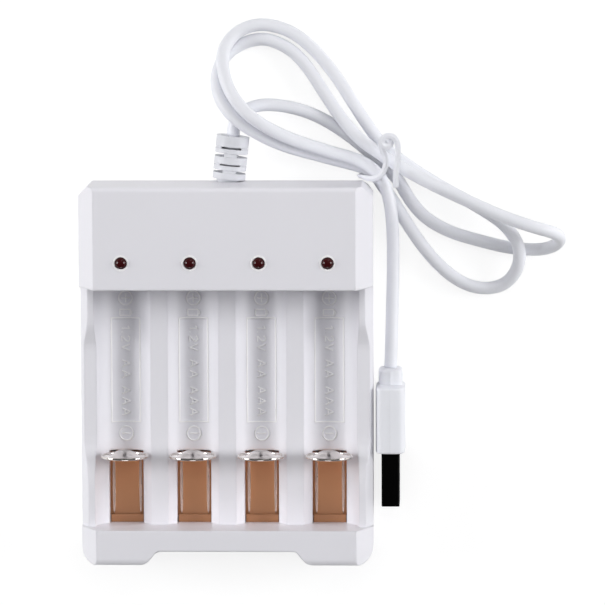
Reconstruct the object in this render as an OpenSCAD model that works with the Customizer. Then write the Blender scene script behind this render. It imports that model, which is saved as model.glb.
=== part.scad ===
// Battery charger for four AA or AAA cells, fed by a USB lead.
// It lies on its back: +Z is up out of the face, +Y points to the head and the lead.
// The origin is on the table under the middle of the housing. Sizes are in millimetres.

/* [Housing] */
// Width of the housing across the bays
body_w = 73; // [72:0.5:80]
// Length of the head that covers the positive contacts
head_l = 25.5; // [24:0.5:32]
// Height of the head
head_h = 26; // [25.7:0.1:30]
// Length of the open bays
bay_l = 60.6; // [59:0.2:66]
// Length of the ledge at the foot end
ledge_l = 8.9; // [8.8:0.1:12]
// Height of the ledge
ledge_h = 22.5; // [20:0.5:25]
// Thickness of the shell walls
wall = 2; // [1.6:0.1:2.2]
// Thickness of the back cover's floor
floor_t = 2; // [1.6:0.1:2.4]
// Width of the bevels along both sides, seen from above
bevel_w = 4.1; // [2:0.1:5]
// Height of those bevels
bevel_h = 8; // [4:0.5:8.5]
// Height of the joint between the two shells
joint_z = 8; // [7.9:0.1:9]
// Shadow gap along that joint
seam = 0.25; // [0.1:0.05:0.4]
// Cut across the two corners at the head end
corner_cut = 2.7; // [1:0.1:5]
// Rounding of the outer corners of the feet
foot_r = 3.5; // [2.5:0.1:5]
// Width of the gap between the feet at its inner end
gap_w = 34.6; // [26:0.2:44]
// How much wider the gap is at the feet's ends, on each side
gap_flare = 3; // [1:0.1:5]
// Depth of the gap between the feet
gap_d = 3.65; // [2.5:0.05:4]
// Rounding of the head's top edge at the lead end
head_edge_r = 1.2; // [0.5:0.1:2]
// Rounding of the ledge's top edge at the feet
foot_edge_r = 1.6; // [0.5:0.1:2.5]
// Width of the bevel round the bottom of the back cover
base_bevel_w = 2; // [1:0.1:2.5]
// Height of that bevel
base_bevel_h = 6.5; // [4:0.1:7]

/* [Bays] */
// Number of bays
bays = 4; // [4]
// Width of each side beyond the outer bays
side_w = 2.5; // [2.2:0.1:3]
// Diameter of the largest cell
cell_d = 14.5; // [14:0.1:14.8]
// Radial room round that cell
cell_clear = 0.25; // [0.1:0.05:0.4]
// Height of the lowest line of the bays above the table
trough_z = 9.7; // [9.6:0.05:9.9]
// Thickness of the deck under that line
deck_t = 2; // [1.8:0.05:2.1]
// Height of the ribs between the bays above the lowest line
rib_h = 3.5; // [2.5:0.1:4.5]
// Drop of the side rims in the middle of the bays
rim_dip = 2.2; // [0.5:0.1:3]
// Diameter of the shallow grooves for the smaller cell
groove_d = 10.8; // [10.4:0.1:11.2]
// Depth of those grooves below the lowest line of the bays
groove_depth = 0.35; // [0.2:0.05:0.5]
// Length of those grooves
groove_l = 25.8; // [20:0.2:32]
// Depth of the pockets in the head that take the cells' ends
pocket_d = 3.1; // [2.5:0.1:3.4]
// Width of the windows in the deck
window_w = 8.6; // [8:0.1:9.2]

/* [Contacts] */
// Free distance between the two contacts of a bay
rest_gap = 43.4; // [42.6:0.1:43.8]
// Travel of a negative contact
travel = 7.2; // [6:0.1:7.2]
// Diameter of the dished negative contact
disc_d = 12.1; // [10:0.1:13]
// Thickness of its flange
disc_t = 0.7; // [0.5:0.05:0.9]
// Diameter of its dome
dome_d = 9; // [7:0.1:9.6]
// Height of its dome
dome_h = 1.15; // [0.8:0.05:1.6]
// Sheet thickness of the strips and plates
sheet_t = 0.5; // [0.4:0.05:0.6]
// Width of the flat top of a slide strip
strip_w = 6.3; // [5.8:0.1:6.6]
// Height of the strip's top above the underside of the deck
strip_rise = 0.2; // [0:0.05:0.25]
// Outside diameter of the return springs
spring_d = 4.2; // [3.6:0.1:4.4]
// Wire diameter of the return springs
spring_wire = 0.45; // [0.35:0.05:0.5]
// Turns of the return springs
spring_turns = 9; // [7:1:10]
// Running clearance of the slides
slide_clear = 0.3; // [0.2:0.05:0.35]

/* [Electronics] */
// Diameter of the indicator lamps
led_d = 3; // [2.8:0.1:3.2]
// Distance from the head's lower edge to the lamps
led_inset = 6.8; // [6.6:0.1:8]
// How far the lamps stand out of the face
led_out = 0.9; // [0.5:0.1:1.4]
// Room between the roof of the head and the circuit board
board_drop = 2.6; // [2.4:0.1:3.2]
// Thickness of the circuit board
board_t = 1.6; // [1:0.1:1.8]
// Width of the circuit board beyond the outer lamps
board_side = 3.5; // [3:0.1:4]
// Depth of the circuit board
board_l = 11.4; // [10:0.1:12]

/* [Lead] */
// Diameter of the lead
cord_d = 3.2; // [3:0.1:3.3]
// Distance of the lead's exit from the middle of the head
boot_x = 0.4; // [-4:0.1:4]
// Diameter of the segmented boot
boot_d = 8.2; // [7:0.1:9]
// Length of the boot outside the housing
boot_l = 11.4; // [10:0.1:13]
// Lean of the boot to the right
boot_lean = 6; // [0:1:8]
// Width of the plug's overmould
plug_w = 15.6; // [15:0.1:16]
// Thickness of the plug's overmould
plug_t = 7.4; // [7:0.1:8]
// Length of the plug's overmould
plug_l = 16.6; // [15:0.1:20]
// Length of the neck behind the overmould
neck_l = 4.3; // [3:0.1:6]
// Width of the plug's metal shell
shell_w = 12; // [11.9:0.05:12.1]
// Thickness of the plug's metal shell
shell_t = 4.5; // [4.4:0.05:4.6]
// Length of the shell outside the overmould
shell_l = 13.5; // [11.7:0.1:14]
// Distance of the lying plug from the housing's side
plug_gap = 0.6; // [0.4:0.1:2]

/* [Hidden] */
$fn = 48;

// Colours
shell_white = [0.93, 0.93, 0.95];
nickel = [0.83, 0.81, 0.77];
copper_brown = [0.66, 0.46, 0.33];
lamp_red = [0.3, 0.03, 0.03];

// Fits and small sizes
fit = 0.2;
over = 1;
half_w = body_w / 2;
body_l = head_l + bay_l + ledge_l;
head_y = body_l / 2;
foot_y = -body_l / 2;
bay_top_y = head_y - head_l;
bay_low_y = foot_y + ledge_l;
face_half = half_w - bevel_w;
gap_step = 2.2;
gap_r = 1.2;
foot_in_r = 4;
gap_wall = 1.4;
gap_sill_h = 1;

// Bays: the cell's axis, the ribs, the deck and the pockets in the head
pitch = (body_w - 2 * side_w) / bays;
trough_r = cell_d / 2 + cell_clear;
axis_z = trough_z + trough_r;
rib_z = trough_z + rib_h;
deck_z = trough_z - deck_t;
deck_half = half_w - wall - fit;
rim_z = axis_z - 0.4;
rim_edge_w = 1.9;
rim_edge_h = 3.8;
rim_blend = 12;
rim_flat = 7.5;
groove_z = trough_z - groove_depth + groove_d / 2;
groove_y = bay_top_y - 8.9;
pocket_y = bay_top_y + pocket_d;
pocket_wall = 1.4;
head_room_y = pocket_y + pocket_wall;

// Negative contacts: the disc, its strip and its window
dimple_d = 4.4;
dimple_h = 0.3;
contact_y = pocket_y - sheet_t - dimple_h;
disc_y = contact_y - rest_gap - dome_h;
disc_back_y = disc_y - disc_t;
window_top_y = disc_y + 0.13;
strip_top_z = deck_z + strip_rise;
flange_top_z = deck_z - slide_clear;
flange_low_z = flange_top_z - sheet_t;
flange_half = window_w / 2 + 0.6;
strip_foot_half = window_w / 2 - 0.25;
tail_room = 0.45;
strip_tail_y = foot_y + gap_d - gap_step + gap_wall + tail_room + travel;
strip_front_y = disc_back_y - sheet_t;
upstand_w = 6;
spring_z = strip_top_z - sheet_t - slide_clear - spring_d / 2;
upstand_low_z = spring_z - spring_d / 2;
upstand_top_z = axis_z + 3.2;
stop_t = 1.6;
stop_y = disc_back_y + slide_clear;
stop_h = 2.2;

// Fixed end of the springs: posts on the back cover
post_w = 3.6;
post_t = 2;
post_y = strip_tail_y + 0.6;
post_top_z = strip_top_z - sheet_t - 0.5;
guide_t = 1;
guide_low_y = post_y + 1.6;
guide_x = flange_half - guide_t / 2;

// Common plate: a bar inside the ledge, and a tongue over the tail of each strip
bus_t = 0.3;
bus_z = strip_top_z + slide_clear;
bus_y = bay_low_y - wall - fit;
bus_w = 0.8;
bus_reach = (bays - 1) / 2 * pitch + flange_half + 1.4;
tongue_y = bay_low_y + 1.9;
tunnel_z = bus_z + bus_t + fit;

// Joint between the shells: a tongue on the back cover in a groove of the front
lip_t = 0.9;
lip_h = 1.4;

// Screws: two in the head's corners and two under the ribs, above the windows
screw_d = 2;
screw_head_d = 4.2;
screw_head_h = 1.8;
screw_l = 9;
screw_seat_z = 3.4;
boss_wall = 0.8;
screw_boss_d = screw_head_d + 3 * fit + 2 * boss_wall;
web_t = 1.2;
screw_room = 0.05;
head_screw = [half_w - 6, head_y - 5.5];
boss_top_z = head_h - bevel_h;
rib_screw = [pitch, stop_y + stop_t + screw_boss_d / 2 + 1];
screws = [for (s = [-1, 1]) each [[s * head_screw[0], head_screw[1]], [s * rib_screw[0], rib_screw[1]]]];

// Electronics under the roof of the head
roof_z = head_h - wall;
board_top_z = roof_z - board_drop;
board_z = board_top_z - board_t;
board_y = head_room_y + fit;
board_w = (bays - 1) * pitch + 2 * board_side;
led_y = bay_top_y + led_inset;
led_flange_d = led_d + 0.8;
led_flange_h = 1;
led_edge = 0.3;
leg_d = 0.5;
leg_pitch = 2.54;
leg_l = 2.6;
stake_d = 2;
stake_x = pitch;
stake_y = board_y + board_l - 2.4;
stake_collar = 1.2;

// Lead, boot and plug
boot_z = joint_z;
neck_r = boot_d / 2 - 1.1;
flange_r = boot_d / 2 - 0.3;
flange_t = 1.6;
boot_core_d = cord_d + 0.4;
boot_tip = [boot_x + boot_l * sin(boot_lean), head_y + boot_l * cos(boot_lean), boot_z];
plug_x = half_w + plug_gap + plug_t / 2;
plug_y = 0.6;
plug_z = plug_w / 2;
neck_w = 8;
neck_t = 5.6;
shell_sheet = 0.3;
shell_y = plug_y - neck_l - plug_l;
tongue_t = 1.9;
tongue_back = 0.8;
pin_t = 0.15;
pin_w = 1;

// Route of the lead from the boot to the plug: a right loop, a left loop, a right loop, a left loop
cord_route = [
    boot_tip, [2, 62, 8], [4.4, 65, 7.4], [8.8, 66.4, 6.2], [15, 65.8, 4.4], [22, 63.5, 3],
    [29.5, 59, 2.6], [37.4, 52.6, 3.2],
    [42.3, 47.6, 1.8], [45.7, 42, 1.6], [49.6, 37.6, 1.6], [55.5, 34.2, 1.6],
    [62.5, 32, 1.6], [70, 30.2, 1.6],
    [76.5, 29.6, 1.9], [80.4, 30.2, 3], [82.8, 31.9, 5.9], [82.8, 33.9, 9.4],
    [80.6, 35.2, 12.1], [76.2, 36.6, 13.7],
    [68.5, 39.2, 12.8], [60, 42.8, 11], [51.5, 46.6, 8.8], [44.5, 50.2, 7],
    [38.4, 54, 6.1],
    [33, 58, 6.2], [28.5, 63, 5], [24, 69.5, 3.2], [20, 75.5, 2], [15.5, 80, 1.6], [9.5, 82.5, 1.6],
    [4, 81.5, 1.8], [-0.5, 78.4, 3.4], [-2.5, 73.5, 6.4], [-1.6, 68.4, 9.4], [1.8, 63.8, 11.4],
    [7, 60, 10.2], [14.5, 56.2, 7.2], [25.5, 52.8, 4],
    [35.4, 49.8, 3.2],
    [39.2, 45.2, 3.3], [42.6, 40.2, 4], [45.8, 35, 3.5], [49.7, 29.4, 2.4], [54.4, 24.3, 1.6],
    [59.5, 20.9, 1.6], [64.8, 19.8, 1.6], [69.6, 21.2, 2.4], [72.6, 25.4, 4.2], [72.8, 30.8, 5.4],
    [69.2, 36.2, 5.4], [62, 41, 4.2], [53.2, 45.8, 3.2], [45.6, 50.6, 3],
    [39.4, 55.4, 3.2],
    [35.4, 60.6, 3], [31.5, 66.5, 3], [27, 73.5, 2.4], [21.5, 80, 1.8], [15.5, 84.5, 1.7],
    [8.5, 86.2, 1.8], [2.6, 84.4, 3.4], [-0.8, 79.8, 6.6], [-0.4, 73.8, 9.8], [2.2, 68.4, 12.4],
    [7, 63.4, 13], [14.8, 58.8, 10.6], [25, 55, 7.6], [31.5, 53, 6.2],
    [35.6, 51, 6.4],
    [38.6, 47.8, 6.8], [40.3, 43.6, 7.2], [41.1, 38.5, 7], [41.4, 32.5, 6.2],
    [41.4, 24, 5.8], [41.2, 15, 6.4],
    [41, 7, 7.5], [plug_x, plug_y, plug_z]
];

// Tie: down beside the five strands, under them, up and over, then round a small knob to the tail
tie_d = 1;
tie_route = [
    [40.2, 57.4, 9], [40.9, 57.3, 8], [41.1, 57.1, 5.2], [41, 57, 2.4], [40.4, 56.5, 0.9], [39.4, 55.4, 0.6],
    [37.4, 52.6, 0.6], [35.6, 50.2, 0.6], [34.4, 48.9, 0.7], [33.5, 48.3, 1.6], [33, 48.1, 3.4],
    [32.9, 48.4, 5.2], [33.5, 48.4, 6.6], [34.7, 48.2, 7.7], [36.2, 48.1, 8.6], [37.8, 48.6, 9.2],
    [39, 49.9, 9.4], [39.7, 51.8, 9.4], [39.5, 53.8, 9.4],
    [38.8, 55.5, 9.8], [38.5, 57.1, 10.3], [39.2, 58.6, 10.7], [40.5, 58.9, 11], [41.2, 57.8, 11.2],
    [40.6, 56.6, 11.4], [39.3, 56.5, 11.6], [38.6, 57.5, 11.8], [39.2, 58.7, 12], [40.5, 59.2, 12.2],
    [41.8, 58.7, 12.2],
    [42.6, 57.2, 11.8], [42.7, 55, 11.4], [42.5, 52, 10.9], [42.2, 49, 10.4], [42.1, 46, 9.9]
];

function unit(v) = v / norm(v);
function bay_x(i) = (i - (bays - 1) / 2) * pitch;

// Points of an arc of radius r that rounds the corner at p between the points a and b
function corner(p, a, b, r, n = 5) =
    let (u = unit(a - p), v = unit(b - p), h = acos(u * v) / 2)
    let (c = p + unit(u + v) * r / sin(h), s = p + u * r / tan(h) - c, e = p + v * r / tan(h) - c)
    let (a0 = atan2(s[1], s[0]), turn = atan2(s[0] * e[1] - s[1] * e[0], s * e))
    [for (k = [0:n]) c + r * [cos(a0 + turn * k / n), sin(a0 + turn * k / n)]];

// An outline with each corner rounded by its own radius
function rounded(pts, radii, n = 5) =
    let (m = len(pts))
    [for (k = [0:m - 1]) each radii[k] <= 0
        ? [pts[k]]
        : corner(pts[k], pts[(k + m - 1) % m], pts[(k + 1) % m], radii[k], n)];

// Outline of the housing seen from above, moved inwards by i, with a gap of depth d between the feet
function plan(i, d) =
    let (cut = corner_cut + i * (sqrt(2) - 1), slant = i * (norm([gap_flare, d]) - gap_flare) / d)
    let (w = half_w - i, top = head_y - i, low = foot_y + i, in_w = gap_w / 2 + slant)
    rounded(
        [
            [w, head_y - cut], [half_w - cut, top], [cut - half_w, top], [-w, head_y - cut],
            [-w, low], [-in_w - gap_flare, low], [-in_w, low + d],
            [in_w, low + d], [in_w + gap_flare, low], [w, low]
        ],
        [0, 0, 0, 0, max(foot_r - i, 0), foot_in_r, gap_r, gap_r, foot_in_r, max(foot_r - i, 0)]
    );

// Cross-section of the head or the ledge: a flat top between two bevels
function crown(top) = [
    [-half_w, joint_z], [-half_w, top - bevel_h], [-face_half, top],
    [face_half, top], [half_w, top - bevel_h], [half_w, joint_z]
];

// The same section moved inwards by the wall and left open below
function crown_room(top) =
    let (l = norm([bevel_w, bevel_h]), x = face_half - wall * (l - bevel_w) / bevel_h)
    let (w = half_w - wall, z = top - bevel_h - wall * (l - bevel_h) / bevel_w)
    [[-w, 0], [-w, z], [-x, top - wall], [x, top - wall], [w, z], [w, 0]];

// Smooth step from 0 to 1
function ease(t) = t * t * (3 - 2 * t);

// Height line of the side rims: high at the head and at the ledge, lower between
function rim_line() =
    let (n = 6, y0 = bay_low_y + 10.5, y1 = y0 + rim_blend, y3 = bay_top_y - 8.5, y2 = y3 - rim_flat)
    concat(
        [[bay_low_y - over, rim_z]],
        [for (k = [0:n]) [y0 + (y1 - y0) * k / n, rim_z - rim_dip * ease(k / n)]],
        [for (k = [0:n]) [y2 + (y3 - y2) * k / n, rim_z - rim_dip * (1 - ease(k / n))]],
        [[bay_top_y + over, rim_z]]
    );

// Section of a slide strip: a raised channel with a foot along each side
function strip_section() =
    let (top = strip_w / 2, foot = strip_foot_half, t = sheet_t, inner = 0.3)
    [
        [-flange_half, flange_low_z], [-flange_half, flange_top_z], [-foot, flange_top_z],
        [-top, strip_top_z], [top, strip_top_z], [foot, flange_top_z],
        [flange_half, flange_top_z], [flange_half, flange_low_z], [foot - t, flange_low_z],
        [top - inner, strip_top_z - t], [inner - top, strip_top_z - t], [t - foot, flange_low_z]
    ];

// Directions across a path, carried along it without twist
function sides_along(p, k = 0, last = [0, 0, 1]) =
    k == len(p) ? [] :
    let (t = unit(p[min(k + 1, len(p) - 1)] - p[max(k - 1, 0)]))
    let (from = k == 0 && abs(t[2]) > 0.9 ? [1, 0, 0] : last, a = unit(from - (from * t) * t))
    concat([[a, cross(t, a)]], sides_along(p, k + 1, a));

module tube(p, r, sides) {
    f = sides_along(p);
    n = len(p);
    rings = [for (k = [0:n - 1]) for (j = [0:sides - 1])
        p[k] + r * (cos(360 * j / sides) * f[k][0] + sin(360 * j / sides) * f[k][1])];
    skin = [for (k = [0:n - 2]) for (j = [0:sides - 1])
        let (a = k * sides + j, b = k * sides + (j + 1) % sides)
        each [[a, a + sides, b], [b, a + sides, b + sides]]];
    caps = [[for (j = [0:sides - 1]) j], [for (j = [0:sides - 1]) n * sides - 1 - j]];
    polyhedron(rings, concat(skin, caps));
}

module along_y(y0, y1) {
    translate([0, y1, 0]) rotate([90, 0, 0]) linear_extrude(y1 - y0) children();
}

module along_x(x0, x1) {
    translate([x0, 0, 0]) rotate([90, 0, 90]) linear_extrude(x1 - x0) children();
}

module block(x0, x1, y0, y1, z0, z1) {
    translate([x0, y0, z0]) cube([x1 - x0, y1 - y0, z1 - z0]);
}

module rod(x, y, z, d, l) {
    translate([x, y, z]) rotate([90, 0, 0]) cylinder(d = d, h = l);
}

// Front shell before its bays and hollows are cut
module front_form() {
    middle = (bay_low_y + bay_top_y) / 2;
    rim_section = [
        [-half_w, joint_z], [-half_w, rim_z - rim_edge_h], [rim_edge_w - half_w, rim_z],
        [half_w - rim_edge_w, rim_z], [half_w, rim_z - rim_edge_h], [half_w, joint_z]
    ];
    ends = rounded(
        [
            [foot_y, 0], [head_y, 0], [head_y, head_h], [middle, head_h], [middle, ledge_h], [foot_y, ledge_h]
        ],
        [0, 0, head_edge_r, 0, 0, foot_edge_r]
    );
    intersection() {
        union() {
            along_y(bay_top_y, head_y) polygon(crown(head_h));
            along_y(foot_y, bay_low_y) polygon(crown(ledge_h));
            intersection() {
                along_y(bay_low_y - over, bay_top_y + over) polygon(rim_section);
                along_x(-half_w - over, half_w + over)
                    polygon(concat(rim_line(), [[bay_top_y + over, 0], [bay_low_y - over, 0]]));
            }
        }
        translate([0, 0, joint_z + seam]) {
            linear_extrude(head_h) polygon(plan(0, gap_d));
            linear_extrude(gap_sill_h) polygon(plan(0, gap_d - gap_step));
        }
        along_x(-half_w - over, half_w + over) polygon(ends);
    }
}

// Round bays with their pockets and grooves, and the open space above the ribs
module bay_cuts() {
    outer = bay_x(bays - 1);
    for (i = [0:bays - 1]) {
        rod(bay_x(i), pocket_y, axis_z, 2 * trough_r, pocket_y - bay_low_y);
        rod(bay_x(i), groove_y, groove_z, groove_d, groove_l);
    }
    block(-outer, outer, bay_low_y, bay_top_y, rib_z, head_h + over);
}

// Windows for the slides, with tunnels under the ledge for the strips' tails
module window_cuts() {
    for (i = [0:bays - 1]) translate([bay_x(i), 0, 0]) {
        block(-window_w / 2, window_w / 2, bay_low_y, window_top_y, deck_z - over, rib_z);
        block(-window_w / 2, window_w / 2, bay_low_y - wall - over, bay_low_y + over,
            deck_z - over, tunnel_z);
    }
}

// Groove of the joint: a ring as wide as the back cover's tongue and its room
module joint_groove() {
    translate([0, 0, joint_z]) linear_extrude(lip_h + fit) difference() {
        polygon(plan(wall - lip_t - fit, gap_d));
        polygon(plan(wall + fit, gap_d));
    }
}

module front_housing() {
    color(shell_white) difference() {
        union() {
            difference() {
                union() {
                    front_form();
                    block(-deck_half, deck_half, bay_low_y - wall, head_room_y, deck_z, joint_z + over);
                }
                along_y(head_room_y, head_y - wall) polygon(crown_room(head_h));
                intersection() {
                    along_y(foot_y, bay_low_y - wall) polygon(crown_room(ledge_h));
                    linear_extrude(head_h) polygon(plan(wall, gap_d));
                }
            }
            for (i = [0:bays - 1]) translate([bay_x(i), 0, 0])
                block(-flange_half, flange_half, stop_y, stop_y + stop_t, deck_z - stop_h, deck_z + over);
            for (s = [-1, 1]) {
                translate([s * head_screw[0], head_screw[1], deck_z])
                    cylinder(d = screw_boss_d, h = boss_top_z - deck_z);
                translate([s * head_screw[0], 0, 0])
                    block(-web_t / 2, web_t / 2, head_screw[1], head_y - wall / 2, joint_z + seam, boss_top_z);
                translate([s * stake_x, stake_y, board_top_z])
                    cylinder(d = stake_d + 2 * stake_collar, h = board_drop + over / 2);
                translate([s * stake_x, stake_y, board_z - stake_collar])
                    cylinder(d = stake_d, h = board_drop + board_t + stake_collar);
            }
        }
        bay_cuts();
        window_cuts();
        joint_groove();
        rod(boot_x, head_y + over, boot_z, 2 * (neck_r + fit), wall + 2 * over);
        for (i = [0:bays - 1]) {
            translate([bay_x(i), led_y, roof_z - over]) cylinder(d = led_d + fit, h = wall + 2 * over);
            translate([bay_x(i), led_y, head_h - led_edge])
                cylinder(d1 = led_d + fit, d2 = led_d + fit + 4 * led_edge, h = 2 * led_edge);
            translate([bay_x(i), 0, 0])
                block(-1.5 - fit, 1.5 + fit, pocket_y - over, head_room_y + over,
                    board_z - sheet_t - fit, board_z + fit);
        }
        for (p = screws) translate([p[0], p[1], deck_z - over])
            cylinder(d = screw_d, h = screw_l - (deck_z - screw_seat_z) + over);
    }
}

// Back shell as a solid, moved inwards by i above a floor at z
module back_form(i, z, d) {
    w = half_w - i;
    b = base_bevel_w;
    top = joint_z + (i > 0 ? over : 0);
    edge = i > 0 ? 0 : 0.8;
    radii = [edge, 0, 0, 0, 0, edge];
    intersection() {
        along_y(foot_y, head_y) polygon(rounded(
            [[b - w, z], [-w, base_bevel_h], [-w, top], [w, top], [w, base_bevel_h], [w - b, z]], radii));
        along_x(-half_w, half_w) polygon(rounded(
            [
                [foot_y + i + b, z], [foot_y + i, base_bevel_h], [foot_y + i, top],
                [head_y - i, top], [head_y - i, base_bevel_h], [head_y - i - b, z]
            ], radii));
        linear_extrude(joint_z + 2 * over) polygon(plan(i, d));
    }
}

module back_cover() {
    color(shell_white) difference() {
        union() {
            difference() {
                back_form(0, 0, gap_d - gap_step);
                back_form(wall, floor_t, gap_d - gap_step - wall + gap_wall);
                rod(boot_x, head_y - wall, boot_z, 2 * (flange_r + fit), flange_t + fit);
            }
            difference() {
                translate([0, 0, joint_z - over]) linear_extrude(lip_h + over) difference() {
                    polygon(plan(wall - lip_t, gap_d));
                    polygon(plan(wall, gap_d));
                }
                block(-gap_w / 2 - gap_flare - wall, gap_w / 2 + gap_flare + wall,
                    foot_y, foot_y + gap_d + 2 * wall, 0, joint_z + lip_h + over);
            }
            for (i = [0:bays - 1]) translate([bay_x(i), 0, 0]) {
                for (s = [-1, 1])
                    block(s * guide_x - guide_t / 2, s * guide_x + guide_t / 2,
                        guide_low_y, stop_y, floor_t - over, flange_low_z - slide_clear);
                block(-post_w / 2, post_w / 2, post_y - post_t, post_y, floor_t - over, post_top_z);
            }
            for (p = screws) translate([p[0], p[1], floor_t - over])
                cylinder(d = screw_boss_d, h = deck_z - floor_t + over);
        }
        rod(boot_x, head_y + over, boot_z, 2 * (neck_r + fit), wall + 2 * over);
        for (p = screws) translate([p[0], p[1], 0]) {
            translate([0, 0, -over]) cylinder(d = screw_head_d + 3 * fit, h = screw_seat_z + over);
            cylinder(d = screw_d + 2 * fit, h = deck_z + over);
        }
    }
}

module circuit_board() {
    color([0.55, 0.36, 0.2]) difference() {
        block(-board_w / 2, board_w / 2, board_y, board_y + board_l, board_z, board_top_z);
        for (s = [-1, 1]) translate([s * stake_x, stake_y, board_z - over])
            cylinder(d = stake_d + fit, h = board_t + 2 * over);
        for (i = [0:bays - 1]) for (s = [-1, 1])
            translate([bay_x(i) + s * leg_pitch / 2, led_y, board_z - over])
                cylinder(d = leg_d + fit, h = board_t + 2 * over);
    }
}

// Sixteen-pin chip on the middle of the board
module control_chip() {
    chip_l = 9.9;
    chip_w = 3.9;
    chip_h = 1.6;
    pin_pitch = 1.27;
    y = board_y + board_l - 4.6;
    color([0.12, 0.12, 0.13]) translate([0, y, board_top_z]) {
        block(-chip_l / 2, chip_l / 2, -chip_w / 2, chip_w / 2, 0.1, chip_h);
        for (k = [0:7]) for (s = [-1, 1])
            translate([(k - 3.5) * pin_pitch, s * (chip_w / 2 + 0.4), 0.3])
                cube([0.4, 1.2, 0.6], center = true);
    }
}

module sense_resistors() {
    y = board_y + board_l - 2.6;
    color([0.15, 0.15, 0.16]) for (i = [0:bays - 1]) translate([bay_x(i), y, board_top_z])
        block(-1.6, 1.6, -0.8, 0.8, 0, 0.6);
}

module led(i) {
    body_r = led_d / 2;
    dome_z = head_h + led_out - body_r;
    color(lamp_red) translate([bay_x(i), led_y, 0]) {
        translate([0, 0, board_top_z]) cylinder(d = led_flange_d, h = led_flange_h);
        translate([0, 0, board_top_z]) cylinder(r = body_r, h = dome_z - board_top_z);
        translate([0, 0, dome_z]) sphere(r = body_r);
        for (s = [-1, 1]) translate([s * leg_pitch / 2, 0, board_top_z - leg_l])
            cylinder(d = leg_d, h = leg_l + 0.1);
    }
}

// Plate at the end of a pocket, with a tab to the underside of the board
module positive_contact(i) {
    tab_y = led_y - leg_d / 2 - 2 * fit;
    color(nickel) translate([bay_x(i), 0, 0]) {
        block(-4, 4, pocket_y - sheet_t, pocket_y, axis_z - 4.2, board_z);
        block(-1.5, 1.5, pocket_y - sheet_t, tab_y, board_z - sheet_t, board_z);
        rod(0, pocket_y - sheet_t / 2, axis_z - 0.6, dimple_d, dimple_h + sheet_t / 2);
    }
}

// Dished contact, turned about the cell's axis: a flat flange and a domed middle
module contact_disc(i) {
    steps = 7;
    r = disc_d / 2;
    dome = [for (k = [0:steps]) [dome_d / 2 * (1 - k / steps), dome_h * ease(k / steps)]];
    rim = [[0, -disc_t], [r - 0.2, -disc_t], [r, 0.2 - disc_t], [r, -0.15], [r - 0.15, 0]];
    color(nickel) translate([bay_x(i), disc_y, axis_z]) rotate([-90, 0, 0])
        rotate_extrude() polygon(concat(rim, dome));
}

// Folded strip: a channel along the window and an upstand behind the disc
module slide_strip(i) {
    color(copper_brown) translate([bay_x(i), 0, 0]) {
        along_y(strip_tail_y, disc_back_y) polygon(strip_section());
        block(-upstand_w / 2, upstand_w / 2, strip_front_y, disc_back_y, upstand_low_z, upstand_top_z);
    }
}

module return_spring(i) {
    r = (spring_d - spring_wire) / 2;
    room = 0.1 + spring_wire / 2;
    y0 = strip_front_y - room;
    y1 = post_y + room;
    steps = 10;
    n = spring_turns * steps;
    color(nickel) translate([bay_x(i), 0, spring_z])
        tube([for (k = [0:n]) [r * cos(360 * k / steps), y0 + (y1 - y0) * k / n, r * sin(360 * k / steps)]],
            spring_wire / 2, 6);
}

// Common plate of the negative contacts, shaped like a comb
module negative_bus() {
    half = window_w / 2 - fit;
    color(copper_brown) {
        block(-bus_reach, bus_reach, bus_y - bus_w, bus_y, bus_z, bus_z + bus_t);
        for (i = [0:bays - 1]) translate([bay_x(i), 0, 0])
            block(-half, half, bus_y - bus_w, tongue_y, bus_z, bus_z + bus_t);
    }
}

// Wire from the bus to the board, and the two wires of the lead
module lead_wires() {
    r = 0.6;
    side = bus_reach - r;
    rise = head_room_y + 3;
    end_z = board_z;
    in_y = head_y - wall - flange_t;
    solder_y = board_y + board_l - 2;
    board_x = 5 - board_w / 2;
    low_z = floor_t + 1.2;
    bus_wire = [
        [-side, bus_y - bus_w / 2, bus_z], [-side, bus_y, bus_z - 2], [-side, bus_y + 2, low_z + 0.4],
        [-side, bus_y + 5, low_z], [-side, 0, low_z], [-side, rise - 6, low_z], [-side, rise, floor_t + 3],
        [1 - side, rise + 2, joint_z + 3], [board_x - 1, rise + 3, end_z - 4], [board_x, rise + 3, end_z]
    ];
    color([0.75, 0.12, 0.1]) {
        tube(bus_wire, r, 6);
        for (s = [-1, 1]) tube([
            [boot_x + s, in_y, boot_z], [boot_x + s, in_y - 1.5, boot_z],
            [boot_x + 1.5 * s, in_y - 4, boot_z + 5],
            [boot_x + 3 * s, solder_y, end_z - 3], [boot_x + 3 * s, solder_y, end_z]
        ], r, 6);
    }
}

module cover_screws() {
    color([0.6, 0.6, 0.62]) for (p = screws) translate([p[0], p[1], screw_seat_z]) {
        difference() {
            translate([0, 0, -screw_head_h]) cylinder(d = screw_head_d, h = screw_head_h);
            for (a = [0, 90]) rotate(a) translate([0, 0, -screw_head_h]) cube([2.6, 0.6, 1.6], center = true);
        }
        cylinder(d = screw_d - 2 * screw_room, h = screw_l - 0.5);
    }
}

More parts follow.
